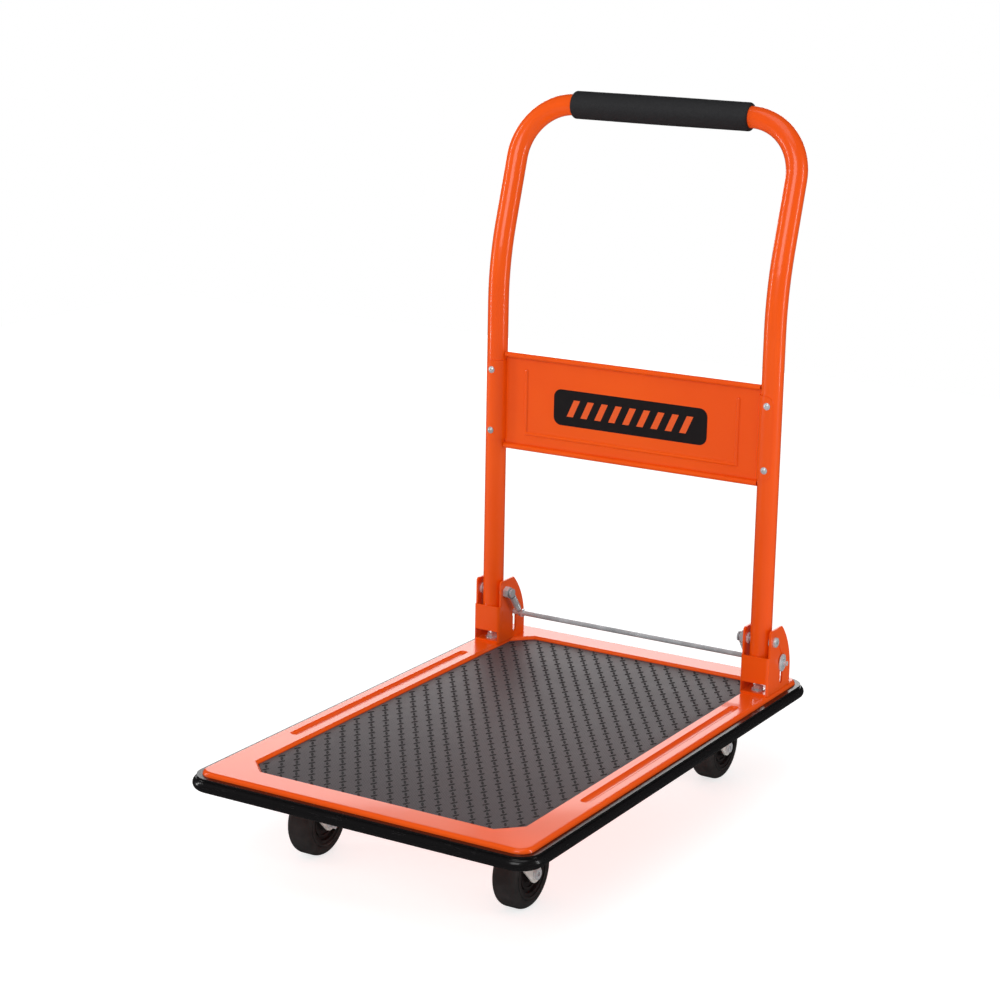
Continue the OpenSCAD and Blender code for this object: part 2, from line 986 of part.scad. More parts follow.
module panel_label() {
    color(black)
        translate([0, tube_y, panel_z])
            rotate([90, 0, 0])
                linear_extrude(label_t)
                    rounded_rect(label_w, label_h, label_corner);
}

// ---------- Lock bar ----------

module lock_bar() {
    lug_x = anchor_x - hook_r;
    color(zinc)
        translate([0, bar_y, bar_z]) {
            rod_x(-bar_half_l, bar_half_l, bar_r);
            for (s = [-1, 1])
                translate([s * lug_x, 0, 0])
                    cube([lug_w, 2 * bar_r - 1, lug_h], center = true);
        }
}

module lock_bar_washers() {
    outer_face = bracket_x + bracket_w / 2;
    color(zinc)
        both_sides()
            translate([outer_face + loose, bar_y, bar_z])
                difference() {
                    rod_x(0, bar_washer_t, bar_washer_r);
                    rod_x(-1, bar_washer_t + 1, bar_r);
                }
}

module lock_bar_clips() {
    outer_face = bracket_x + bracket_w / 2;
    color(zinc)
        both_sides()
            translate([outer_face + loose + bar_washer_t, bar_y, bar_z])
                difference() {
                    rod_x(0, clip_t, clip_r);
                    rod_x(-1, clip_t + 1, bar_r);
                    translate([-1, -clip_mouth / 2, 0])
                        cube([clip_t + 2, clip_mouth, 2 * clip_r]);
                }
}

// ---------- Casters ----------

module caster_plate_blank() {
    difference() {
        translate([0, 0, plate_top - plate_t])
            linear_extrude(plate_t)
                rounded_rect(plate_w, plate_l, 5);
        for (i = [-1, 1], j = [-1, 1])
            translate([i * plate_hole_x / 2, j * plate_hole_y / 2, plate_top - plate_t - 1])
                cylinder(h = plate_t + 2, r = m6_r + loose);
    }
}

// Fork leg outline about the axle: a round tip, one steep edge and one slanted edge
module leg_outline(top, back, front) {
    edge = leg_tip_r / sqrt(2) - leg_blend;
    circle(leg_tip_r);
    polygon([[leg_tip_r, 0], [leg_tip_r, top - back], [leg_tip_r + back, top], [-front, top],
             [-front, front - 2 * edge], [-edge, -edge]]);
}

// Pair of legs at a wheel, with holes for the axle bolt
module fork_legs(top, back, front) {
    for (s = [-1, 1])
        translate([s * (fork_inner + fork_t / 2), 0, wheel_r])
            rotate([90, 0, 90])
                linear_extrude(fork_t, center = true)
                    difference() {
                        leg_outline(top - wheel_r, back, front);
                        circle(axle_r + running);
                    }
}

// Rigid fork: plate and legs are one folded sheet
module rigid_fork(x) {
    color(zinc)
        translate([x, front_y, 0]) {
            caster_plate_blank();
            fork_legs(plate_top - plate_t + tiny, 0, 34);
        }
}

module front_left_fork() {
    rigid_fork(-wheel_x);
}

module front_right_fork() {
    rigid_fork(wheel_x);
}

module race_cut() {
    rotate_extrude()
        translate([ball_pitch_r, 0])
            circle(ball_r + running, $fn = small_fn);
}

// Swivel caster top plate with its upper ball race
module swivel_plate(x) {
    color(zinc)
        translate([x, kingpin_y, 0])
            difference() {
                union() {
                    caster_plate_blank();
                    translate([0, 0, race_bottom])
                        cylinder(h = plate_top - plate_t - race_bottom, r = crown_r);
                }
                translate([0, 0, race_bottom - 1])
                    cylinder(h = plate_top, r = kingpin_r);
                translate([0, 0, race_z])
                    race_cut();
            }
}

module rear_left_caster_plate() {
    swivel_plate(-wheel_x);
}

module rear_right_caster_plate() {
    swivel_plate(wheel_x);
}

module rear_kingpins() {
    head_top = crown_bottom - loose;
    color(zinc)
        both_sides()
            translate([wheel_x, kingpin_y, 0]) {
                translate([0, 0, head_top - kingpin_head_h])
                    cylinder(h = plate_top - head_top + kingpin_head_h, r = kingpin_r);
                translate([0, 0, head_top - kingpin_head_h])
                    cylinder(h = kingpin_head_h, r = kingpin_head_r);
            }
}

module race_balls(x) {
    color(zinc)
        translate([x, kingpin_y, race_z])
            for (i = [0 : ball_count - 1])
                rotate([0, 0, i * 360 / ball_count])
                    translate([ball_pitch_r, 0, 0])
                        sphere(ball_r, $fn = small_fn);
}

module rear_left_race_balls() {
    race_balls(-wheel_x);
}

module rear_right_race_balls() {
    race_balls(wheel_x);
}

// Swivel fork: crown with lower ball race, and legs that trail behind the kingpin
module swivel_fork(x) {
    color(zinc)
        translate([x, kingpin_y, 0])
            difference() {
                union() {
                    translate([0, 0, crown_bottom])
                        cylinder(h = crown_t, r = crown_r);
                    translate([-fork_outer, 0, crown_bottom])
                        cube([2 * fork_outer, trail + leg_tip_r, fork_t]);
                    translate([0, trail, 0])
                        fork_legs(crown_bottom + fork_t, 6, trail + 8);
                }
                translate([0, 0, crown_bottom - 1])
                    cylinder(h = crown_t + 2, r = kingpin_r + running);
                translate([0, 0, race_z])
                    race_cut();
            }
}

module rear_left_fork() {
    swivel_fork(-wheel_x);
}

module rear_right_fork() {
    swivel_fork(wheel_x);
}

// Axle bolt with its socket head on the outer side of the cart
module axle_bolt(x, y) {
    side = sign(x);
    color(zinc)
        translate([x, y, wheel_r])
            mirror([side < 0 ? 1 : 0, 0, 0])
                difference() {
                    union() {
                        rod_x(-fork_outer - m8_nut_h - 1, fork_outer, axle_r);
                        rod_x(fork_outer, fork_outer + axle_head_h, axle_head_r);
                    }
                    rod_x(fork_outer + axle_head_h - axle_socket_h,
                          fork_outer + axle_head_h + 1, axle_socket_r);
                }
}

module axle_nut(x, y) {
    side = sign(x);
    color(zinc)
        translate([x - side * (fork_outer + m8_nut_h / 2), y, wheel_r])
            rotate([0, 90, 0])
                translate([0, 0, -m8_nut_h / 2])
                    hex_nut(m8_nut_r, axle_r, m8_nut_h);
}

module front_axle_bolts() {
    axle_bolt(-wheel_x, front_y);
    axle_bolt(wheel_x, front_y);
}

module front_axle_nuts() {
    axle_nut(-wheel_x, front_y);
    axle_nut(wheel_x, front_y);
}

module rear_left_axle_bolt() {
    axle_bolt(-wheel_x, rear_y);
}

module rear_right_axle_bolt() {
    axle_bolt(wheel_x, rear_y);
}

module rear_left_axle_nut() {
    axle_nut(-wheel_x, rear_y);
}

module rear_right_axle_nut() {
    axle_nut(wheel_x, rear_y);
}

module caster_bolts() {
    color(zinc)
        at_plate_holes()
            translate([0, 0, plate_top + rib_t])
                hex_bolt(m6_r, rib_t + plate_t + m6_nut_h + 1, m6_head_r, m6_head_h);
}

module caster_nuts() {
    color(zinc)
        at_plate_holes()
            translate([0, 0, plate_top - plate_t - m6_nut_h])
                hex_nut(m6_head_r, m6_r, m6_nut_h);
}

// ---------- Wheels ----------

// Half sections turn about the wheel's own axis, which lies along X
module turned(x, y) {
    translate([x, y, wheel_r])
        rotate([0, 90, 0])
            rotate_extrude()
                children();
}

module tyre(x, y) {
    w = wheel_w / 2;
    s = tyre_shoulder_r;
    color(wheel_black)
        turned(x, y)
            difference() {
                union() {
                    translate([hub_r, -w])
                        square([wheel_r - s - hub_r, wheel_w]);
                    translate([hub_r, s - w])
                        square([wheel_r - hub_r, wheel_w - 2 * s]);
                    for (k = [-1, 1])
                        translate([wheel_r - s, k * (w - s)])
                            circle(s);
                }
                translate([hub_r - s, -w])
                    square([s, wheel_w]);
                for (k = [-1, 1])
                    translate([hub_r + tyre_ring_gap, k * w])
                        circle(tyre_ring_r, $fn = small_fn);
            }
}

module hub(x, y) {
    rim_w = wheel_w - 3;
    web_w = wheel_w - 11;
    ring_w = wheel_w - 7;
    color(wheel_black)
        turned(x, y) {
            translate([hub_r - 4, -rim_w / 2])
                square([4, rim_w]);
            translate([bush_r, -web_w / 2])
                square([hub_r - bush_r - 2, web_w]);
            translate([hub_r - 10, -ring_w / 2])
                square([2, ring_w]);
            translate([bush_r, -wheel_w / 2])
                square([4, wheel_w]);
        }
}

module bush(x, y) {
    color(zinc)
        turned(x, y)
            translate([axle_r + running, -hub_w / 2])
                square([bush_r - axle_r - running, hub_w]);
}

module front_left_tyre() {
    tyre(-wheel_x, front_y);
}

module front_left_hub() {
    hub(-wheel_x, front_y);
}

module front_left_bush() {
    bush(-wheel_x, front_y);
}

module front_right_tyre() {
    tyre(wheel_x, front_y);
}

module front_right_hub() {
    hub(wheel_x, front_y);
}

module front_right_bush() {
    bush(wheel_x, front_y);
}

module rear_left_tyre() {
    tyre(-wheel_x, rear_y);
}

module rear_left_hub() {
    hub(-wheel_x, rear_y);
}

module rear_left_bush() {
    bush(-wheel_x, rear_y);
}

module rear_right_tyre() {
    tyre(wheel_x, rear_y);
}

module rear_right_hub() {
    hub(wheel_x, rear_y);
}

module rear_right_bush() {
    bush(wheel_x, rear_y);
}

deck_pan();
deck_mat();
edge_bumper();
front_cross_member();
rear_cross_member();
left_hinge_bracket();
right_hinge_bracket();
bracket_bolts();
bracket_nuts();
pivot_bolts();
pivot_nuts();
pivot_spacers();
left_return_spring();
right_return_spring();
handle_tube();
grip_sleeve();
cross_panel();
panel_rivets();
panel_label();
lock_bar();
lock_bar_washers();
lock_bar_clips();
front_left_fork();
front_right_fork();
front_axle_bolts();
front_axle_nuts();
rear_left_caster_plate();
rear_right_caster_plate();
rear_kingpins();
rear_left_race_balls();
rear_right_race_balls();
rear_left_fork();
rear_right_fork();
rear_left_axle_bolt();
rear_right_axle_bolt();
rear_left_axle_nut();
rear_right_axle_nut();
caster_bolts();
caster_nuts();
front_left_tyre();
front_left_hub();
front_left_bush();
front_right_tyre();
front_right_hub();
front_right_bush();
rear_left_tyre();
rear_left_hub();
rear_left_bush();
rear_right_tyre();
rear_right_hub();
rear_right_bush();
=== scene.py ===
import bmesh
import bpy
from math import cos, pi, radians, sin
from mathutils import Matrix, Vector
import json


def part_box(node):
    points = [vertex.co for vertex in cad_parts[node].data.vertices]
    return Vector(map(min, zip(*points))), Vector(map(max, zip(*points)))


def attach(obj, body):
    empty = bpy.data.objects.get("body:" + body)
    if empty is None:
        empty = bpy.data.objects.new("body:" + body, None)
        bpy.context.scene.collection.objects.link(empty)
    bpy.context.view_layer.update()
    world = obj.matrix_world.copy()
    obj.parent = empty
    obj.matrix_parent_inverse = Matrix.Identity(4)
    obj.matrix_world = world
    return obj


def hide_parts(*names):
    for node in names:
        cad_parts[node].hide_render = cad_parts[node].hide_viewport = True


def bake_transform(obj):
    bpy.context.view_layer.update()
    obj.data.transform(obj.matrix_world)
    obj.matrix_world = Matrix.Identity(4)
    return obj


MM = 0.001
SCENE = bpy.context.scene

# ---------- Camera ----------

CAMERA_AT = Vector((1.3090, -2.2432, 1.0363))
CAMERA_AZIMUTH = 30.78
CAMERA_ELEVATION = 14.27
CAMERA_ROLL = 1.06
CAMERA_LENS = 87.05


def make_camera():
    data = bpy.data.cameras.new("camera")
    data.lens = CAMERA_LENS
    data.sensor_width = 36
    camera = bpy.data.objects.new("camera", data)
    turn = Matrix.Rotation(radians(CAMERA_AZIMUTH), 4, "Z")
    tilt = Matrix.Rotation(radians(90 - CAMERA_ELEVATION), 4, "X")
    roll = Matrix.Rotation(radians(CAMERA_ROLL), 4, "Z")
    camera.matrix_world = Matrix.Translation(CAMERA_AT) @ turn @ tilt @ roll
    SCENE.collection.objects.link(camera)
    SCENE.camera = camera


make_camera()
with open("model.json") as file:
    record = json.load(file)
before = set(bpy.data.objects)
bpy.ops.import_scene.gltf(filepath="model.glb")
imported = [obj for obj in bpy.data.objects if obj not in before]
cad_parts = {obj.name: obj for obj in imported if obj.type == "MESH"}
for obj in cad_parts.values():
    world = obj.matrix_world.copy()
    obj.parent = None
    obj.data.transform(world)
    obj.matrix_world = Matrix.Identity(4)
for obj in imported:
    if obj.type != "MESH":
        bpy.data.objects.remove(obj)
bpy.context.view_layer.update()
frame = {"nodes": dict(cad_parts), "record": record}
NODES = frame["nodes"]


# ---------- Shader maths ----------

# The colour sockets of a Mix node, which share their names with its number sockets
MIX_COLOUR_A = 6
MIX_COLOUR_B = 7
MIX_COLOUR_OUT = 2


class Val:
    """A shader socket that builds Math nodes when it is used in an expression."""

    def __init__(self, finish, socket):
        self.finish = finish
        self.socket = socket

    def math(self, operation, *others):
        values = [self, *others]
        return self.finish.node("ShaderNodeMath", {"operation": operation}, dict(enumerate(values)))

    def __add__(self, other):
        return self.math("ADD", other)

    def __radd__(self, other):
        return self + other

    def __sub__(self, other):
        return self.math("SUBTRACT", other)

    def __rsub__(self, other):
        return (self * -1) + other

    def __mul__(self, other):
        return self.math("MULTIPLY", other)

    def __rmul__(self, other):
        return self * other


class Finish:
    """A material with one Principled shader, whose fixed values are set on its sockets."""

    def __init__(self, name, **fixed):
        self.material = bpy.data.materials.new(name)
        self.material.use_nodes = True
        self.tree = self.material.node_tree
        self.shader = self.tree.nodes["Principled BSDF"]
        for key, value in fixed.items():
            self.shader.inputs[key.replace("_", " ")].default_value = value

    def node(self, kind, settings=None, sockets=None, out=0):
        made = self.tree.nodes.new(kind)
        for key, value in (settings or {}).items():
            setattr(made, key, value)
        for key, value in (sockets or {}).items():
            self.feed(made.inputs[key], value)
        return Val(self, made.outputs[out])

    def feed(self, socket, value):
        if isinstance(value, Val):
            self.tree.links.new(value.socket, socket)
        else:
            socket.default_value = value

    def place(self, scale=(1, 1, 1)):
        coords = self.node("ShaderNodeTexCoord", out="Object")
        return self.node("ShaderNodeMapping", {"vector_type": "POINT"},
                         {"Vector": coords, "Scale": scale})

    def noise(self, scale, detail=3.0, rough=0.55, vector=None):
        vector = vector or self.place()
        return self.node("ShaderNodeTexNoise", {},
                         {"Vector": vector, "Scale": scale, "Detail": detail, "Roughness": rough})

    def split(self, vector, axis):
        return self.node("ShaderNodeSeparateXYZ", {}, {"Vector": vector}, out=axis)

    def band(self, value, low, high):
        """A smooth step from 0 at low to 1 at high."""
        return self.node("ShaderNodeMapRange", {"interpolation_type": "SMOOTHSTEP"},
                         {"Value": value, "From Min": low, "From Max": high})

    def mix(self, factor, first, second):
        return self.node("ShaderNodeMix", {"data_type": "RGBA"},
                         {"Factor": factor, MIX_COLOUR_A: first, MIX_COLOUR_B: second},
                         out=MIX_COLOUR_OUT)

    def colour(self, value):
        self.feed(self.shader.inputs["Base Color"], value)

    def rough(self, value):
        self.feed(self.shader.inputs["Roughness"], value)

    def bump(self, height, depth, strength=1.0):
        normal = self.node("ShaderNodeBump", {},
                           {"Height": height, "Distance": depth, "Strength": strength})
        self.feed(self.shader.inputs["Normal"], normal)


def rgb(r, g, b):
    return (r, g, b, 1.0)


# ---------- Finishes ----------

def powder_coat():
    f = Finish("orange_powder_coat", Coat_Weight=0.45, Coat_Roughness=0.05, Specular_IOR_Level=0.34)
    cloud = f.band(f.noise(7, 2), 0.3, 0.7)
    f.colour(f.mix(cloud, rgb(0.91, 0.088, 0.001), rgb(0.96, 0.104, 0.001)))
    f.rough(0.27 + 0.03 * f.noise(30, 2))
    f.bump(f.noise(900, 1), 0.00001, 0.25)
    return f.material


def bumper_pvc():
    f = Finish("black_bumper_pvc", Coat_Weight=0.15, Coat_Roughness=0.12, Specular_IOR_Level=0.32)
    scuff = f.band(f.noise(70, 6, 0.7, f.place((1, 1, 6))), 0.55, 0.75)
    f.colour(f.mix(scuff * 0.30, rgb(0.0065, 0.0060, 0.0065), rgb(0.022, 0.020, 0.021)))
    f.rough(0.20 + 0.16 * scuff + 0.06 * f.noise(25, 3))
    f.bump(f.noise(500, 3), 0.00004, 0.4)
    return f.material


def mat_vinyl():
    f = Finish("embossed_mat_vinyl", Specular_IOR_Level=0.32)
    along, across = (f.node("ShaderNodeTexWave", {"bands_direction": way},
                            {"Vector": f.place(), "Scale": WEAVE, "Distortion": 0.6,
                             "Detail": 1.0, "Detail Scale": 4.0}) for way in "XY")
    weave = along * across
    # Mask of the raised marks by height: it gives them painted shade in the colour, more roughness
    # and less weave bump
    mark_and_painted_shade = f.band(f.split(f.place(), "Z"), MAT_FLOOR + 0.1 * MARK_H, MAT_FLOOR + 0.6 * MARK_H)
    dust = f.band(f.noise(16, 6, 0.65), 0.4, 0.75)
    base = f.mix(weave, rgb(0.060, 0.052, 0.055), rgb(0.235, 0.205, 0.213))
    base = f.mix(dust * 0.22, base, rgb(0.12, 0.10, 0.10))
    # The raised marks are painted near-black: painted shade standing in for their shaded sides and
    # the sheen they lack
    f.colour(f.mix(mark_and_painted_shade * 0.95, base, rgb(0.012, 0.010, 0.011)))
    f.rough(0.50 + 0.12 * f.noise(60, 4) + 0.14 * mark_and_painted_shade)
    f.bump((weave + 0.5 * f.noise(700, 3)) * (1 - 0.8 * mark_and_painted_shade), 0.00020, 0.6)
    return f.material


def grip_foam():
    f = Finish("grip_foam", Specular_IOR_Level=0.35)
    pores = f.noise(1100, 4, 0.7)
    f.colour(f.mix(f.band(pores, 0.3, 0.7), rgb(0.010, 0.010, 0.011), rgb(0.028, 0.028, 0.031)))
    f.rough(0.52 + 0.2 * f.noise(90, 4))
    f.bump(pores + f.noise(120, 3), 0.00022, 0.5)
    return f.material


def zinc(name, tone, rough, shine, scratch=0.5):
    """Plated steel with fine drawn lines and a cloudy spangle."""
    f = Finish(name, Metallic=shine)
    drawn = f.noise(160, 5, 0.65, f.place((1, 1, 9)))
    cloud = f.noise(38, 5, 0.6)
    dark = tuple(SPANGLE_SHADE * c for c in tone)
    f.colour(f.mix(f.band(cloud, 0.35, 0.7), rgb(*dark), rgb(*tone)))
    f.rough(rough + 0.16 * f.band(drawn, 0.3, 0.7) - 0.05)
    f.bump(drawn, 0.00005, scratch)
    return f.material


def wheel_rubber(name, dark, light, rough):
    f = Finish(name, Specular_IOR_Level=0.4)
    mottle = f.noise(60, 6, 0.65)
    f.colour(f.mix(f.band(mottle, 0.35, 0.75), rgb(*dark), rgb(*light)))
    f.rough(rough + 0.15 * f.noise(130, 3))
    f.bump(f.noise(620, 4), 0.00008, 0.5)
    return f.material


def nylon():
    f = Finish("nylon_bush", Subsurface_Weight=0.05)
    f.colour(f.mix(f.noise(60, 4), rgb(0.50, 0.49, 0.45), rgb(0.62, 0.61, 0.57)))
    f.rough(0.42 + 0.12 * f.noise(200, 3))
    f.bump(f.noise(400, 3), 0.00004, 0.4)
    return f.material


def label_black():
    f = Finish("label_black", Specular_IOR_Level=0.45)
    f.colour(f.mix(f.noise(80, 4), rgb(0.008, 0.006, 0.007), rgb(0.015, 0.012, 0.013)))
    f.rough(0.34 + 0.10 * f.noise(50, 4))
    f.bump(f.noise(800, 2), 0.00002, 0.4)
    return f.material


def label_print():
    f = Finish("label_orange_print", Specular_IOR_Level=0.45)
    f.colour(f.mix(f.noise(120, 4), rgb(0.84, 0.090, 0.006), rgb(0.90, 0.115, 0.008)))
    f.rough(0.36 + 0.10 * f.noise(50, 4))
    f.bump(f.noise(800, 2), 0.00002, 0.4)
    return f.material


WEAVE = 143.0
SPANGLE_SHADE = 0.72
MARK_H = 0.5 * MM
MAT_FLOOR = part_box("deck_mat")[1].z - MARK_H

ORANGE = powder_coat()
BUMPER = bumper_pvc()
VINYL = mat_vinyl()
FOAM = grip_foam()
SHEET_ZINC = zinc("sheet_zinc", (0.80, 0.78, 0.74), 0.42, 0.25)
BRIGHT_ZINC = zinc("bright_zinc", (0.84, 0.87, 0.90), 0.18, 0.45, 0.3)
BALL_STEEL = zinc("ball_steel", (0.70, 0.71, 0.73), 0.12, 0.80, 0.1)
TYRE = wheel_rubber("tyre_rubber", (0.018, 0.016, 0.016), (0.032, 0.028, 0.027), 0.46)
HUB = wheel_rubber("hub_plastic", (0.016, 0.012, 0.012), (0.026, 0.021, 0.020), 0.40)
BUSH = nylon()
LABEL = label_black()
LABEL_PRINT = label_print()

SLOT_FINISH = {
    "orange_paint": ORANGE,
    "black_pvc": BUMPER,
    "deck_vinyl": VINYL,
    "grip_foam": FOAM,
    "label_film": LABEL,
    "zinc_sheet": SHEET_ZINC,
    "zinc_hardware": BRIGHT_ZINC,
    "polished_ball": BALL_STEEL,
    "tyre_rubber": TYRE,
    "hub_plastic": HUB,
    "bush_nylon": BUSH,
}


def dress_cad_nodes():
    for part in frame["record"]["subparts"]:
        mesh = NODES[part["node"]].data
        finish = SLOT_FINISH[part["material_slot"]]
        for i in range(len(mesh.materials)):
            mesh.materials[i] = finish
        if not mesh.materials:
            mesh.materials.append(finish)


dress_cad_nodes()


# ---------- Making pieces ----------

SOFT_ANGLE = radians(35)
ALONG_AXIS = 0.99
HAIR = 0.001 * MM
ACROSS = Vector((1, 0, 0))
UP = Vector((0, 0, 1))


def middle(corners):
    return (corners[0] + corners[1]) / 2


def at(x, y, z):
    return Matrix.Translation((x, y, z))


def sized(x, y, z):
    return Matrix.Diagonal((x, y, z, 1))


def finished(bm, name, finish, body, smooth=SOFT_ANGLE):
    """Make a bmesh a piece with a finish, attached to its body when one is given; a piece with no
    body is left unattached.
    """
    bmesh.ops.recalc_face_normals(bm, faces=bm.faces)
    for edge in bm.edges:
        edge.smooth = edge.is_manifold and edge.calc_face_angle(0) < smooth
    for face in bm.faces:
        face.smooth = True
    mesh = bpy.data.meshes.new(name)
    bm.to_mesh(mesh)
    bm.free()
    mesh.materials.append(finish)
    piece = bpy.data.objects.new(name, mesh)
    SCENE.collection.objects.link(piece)
    if body:
        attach(piece, body)
    return piece


def block(bm, low, high):
    """A box between two corners, and its vertices."""
    size = high - low
    return bmesh.ops.create_cube(bm, size=1, matrix=at(*middle((low, high))) @ sized(*size))["verts"]


def edges_along(verts, axis):
    """The edges at verts that run along one axis."""
    edges = {edge for vert in verts for edge in vert.link_edges}
    return [edge for edge in edges
            if abs((edge.verts[0].co - edge.verts[1].co).normalized()[axis]) > ALONG_AXIS]


def turned(bm, profile, centre, axis, steps):
    """Spin a closed profile of (along, radius) points about an axis through centre."""
    rim = [bm.verts.new(centre + axis * along + UP * radius) for along, radius in profile]
    edges = [bm.edges.new((a, b)) for a, b in zip(rim, rim[1:] + rim[:1])]
    bmesh.ops.spin(bm, geom=rim + edges, cent=centre, axis=axis, angle=2 * pi, steps=steps,
                   use_merge=True)
    bmesh.ops.remove_doubles(bm, verts=bm.verts, dist=HAIR)


# ---------- Deck mat ----------

MAT_CLIP = 22 * MM
MARK_PITCH_X = 10 * MM
MARK_PITCH_Y = 14.4 * MM
MARK_LENGTH = 9.8 * MM
MARK_WIDTH = 3.3 * MM
MARK_TURNS = (radians(66), radians(-55))
MARK_MARGIN = 5 * MM
MARK_ROOT = 0.1 * MM
MARK_TAPER = 0.84
MARK_SIDES = 8
MAT_EDGE = 0.5 * MM


def mark_places(half_w, half_l):
    """Crossed marks in staggered rows that stay clear of the mat's edge and clipped corners."""
    columns = int(half_w / MARK_PITCH_X) + 1
    rows = int(half_l / MARK_PITCH_Y) + 1
    for i in range(-columns, columns + 1):
        for j in range(-rows, rows + 1):
            if (i + j) % 2:
                continue
            for step, turn in enumerate(MARK_TURNS):
                x = (i + step / 2) * MARK_PITCH_X
                y = (j - step / 2) * MARK_PITCH_Y
                inside = abs(x) < half_w - MARK_MARGIN and abs(y) < half_l - MARK_MARGIN
                corner = abs(x) + abs(y) > half_w + half_l - MAT_CLIP - MARK_MARGIN
                if inside and not corner:
                    yield x, y, turn


def make_mat():
    low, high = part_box("deck_mat")
    cx, cy, _ = middle((low, high))
    bm = bmesh.new()
    verts = block(bm, low, Vector((high.x, high.y, MAT_FLOOR)))
    bmesh.ops.bevel(bm, geom=edges_along(verts, 2), offset=MAT_CLIP, segments=1,
                    affect="EDGES", profile=0.5, material=-1)
    rim = [edge for edge in bm.edges if all(vert.co.z > MAT_FLOOR - HAIR for vert in edge.verts)]
    bmesh.ops.bevel(bm, geom=rim, offset=MAT_EDGE, segments=2, affect="EDGES", profile=0.5,
                    material=-1)
    mark_rise = MARK_H + MARK_ROOT
    shape = sized(MARK_LENGTH / 2, MARK_WIDTH / 2, mark_rise)
    half_side = Matrix.Rotation(pi / MARK_SIDES, 4, "Z")
    for x, y, turn in mark_places((high.x - low.x) / 2, (high.y - low.y) / 2):
        place = at(cx + x, cy + y, high.z - mark_rise / 2) @ Matrix.Rotation(turn, 4, "Z") @ shape
        bmesh.ops.create_cone(bm, cap_ends=True, cap_tris=False, segments=MARK_SIDES, radius1=1,
                              radius2=MARK_TAPER, depth=1, matrix=place @ half_side)
    mat = finished(bm, "embossed_mat", VINYL, "platform")
    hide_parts("deck_mat")


# ---------- Panel label ----------

LABEL_CORNER = 10 * MM
LABEL_BARS = 9
LABEL_BAR_W = 8.5 * MM
LABEL_BAR_PITCH = 19 * MM
LABEL_BAR_H = 21 * MM
LABEL_SLANT = 0.45
LABEL_FILM = 0.04 * MM


def make_label():
    low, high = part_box("panel_label")
    bm = bmesh.new()
    bmesh.ops.bevel(bm, geom=edges_along(block(bm, low, high), 1), offset=LABEL_CORNER, segments=10,
                    affect="EDGES", profile=0.5, material=-1)
    plate = finished(bm, "label_plate", LABEL, "handle")
    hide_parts("panel_label")
    bm = bmesh.new()
    cx, _, cz = middle((low, high))
    half = Vector((LABEL_BAR_W / 2, 0, LABEL_BAR_H / 2))
    for i in range(LABEL_BARS):
        x = cx + (i - (LABEL_BARS - 1) / 2) * LABEL_BAR_PITCH
        verts = block(bm, Vector((x - half.x, low.y - LABEL_FILM, cz - half.z)),
                      Vector((x + half.x, low.y + LABEL_FILM, cz + half.z)))
        for vert in verts:
            vert.co.x += LABEL_SLANT * (vert.co.z - cz)
    finished(bm, "label_bars", LABEL_PRINT, "handle")


# ---------- Handle grip ----------

GRIP_BORE = 12.8 * MM
GRIP_END_R = 3.2 * MM
GRIP_SWELL = 0.35 * MM
GRIP_RINGS = 48
GRIP_STEPS = 72
GRIP_RIPPLE = 0.06 * MM
GRIP_FULL = 0.8


def make_grip():
    low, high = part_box("grip_sleeve")
    centre = middle((low, high))
    half = (high.x - low.x) / 2
    outer = (high.z - low.z) / 2
    ends = [(half - GRIP_END_R * (1 - sin(a)), outer - GRIP_SWELL - GRIP_END_R * (1 - cos(a)))
            for a in (radians(15 * step) for step in range(6, -1, -1))]
    body = []
    for i in range(1, GRIP_RINGS):
        along = (half - GRIP_END_R) * (1 - 2 * i / GRIP_RINGS)
        swell = GRIP_SWELL * (0.5 - 0.5 * cos(pi * (i * 2) / GRIP_RINGS))
        ripple = GRIP_RIPPLE * sin(i * 2.1) * sin(i * 0.7)
        body.append((along, outer - GRIP_SWELL + GRIP_FULL * swell + ripple))
    far_ends = [(-along, radius) for along, radius in reversed(ends)]
    profile = [(half, GRIP_BORE), *ends, *body, *far_ends, (-half, GRIP_BORE)]
    bm = bmesh.new()
    turned(bm, profile, centre, ACROSS, GRIP_STEPS)
    grip = finished(bm, "foam_grip", FOAM, "handle", smooth=radians(60))
    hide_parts("grip_sleeve")


# ---------- Return springs ----------

WIRE_R = 0.7 * MM
WIRE_MERGE = 0.0001 * MM
COIL_R = 3.5 * MM
COIL_START = 7.4 * MM
COIL_TURNS = 15
TURN_POINTS = 14
HOOK_R = 4.0 * MM
HOOK_REACH = HOOK_R + 1.6 * MM
HOOK_STEPS = 15
HOOK_STEP_ANGLE = radians(18)


def spring_path(top, down, length):
    """Points along a spring that hooks round a bolt at top and the lock bar at its far end."""
    third = ACROSS.cross(down)
    points = []
    for step in range(HOOK_STEPS, -1, -1):
        a = HOOK_STEP_ANGLE * step
        points.append(top + down * HOOK_R * cos(a) - third * HOOK_R * sin(a))
    points.append(top + down * HOOK_REACH)
    for step in range(COIL_TURNS * TURN_POINTS + 1):
        a = 2 * pi * step / TURN_POINTS
        along = COIL_START + (length - 2 * COIL_START) * step / (COIL_TURNS * TURN_POINTS)
        points.append(top + down * along + (ACROSS * sin(a) + third * cos(a)) * COIL_R)
    end = top + down * length
    points.append(end - down * HOOK_REACH)
    for step in range(HOOK_STEPS + 1):
        a = HOOK_STEP_ANGLE * step
        points.append(end - down * HOOK_R * cos(a) + third * HOOK_R * sin(a))
    return points


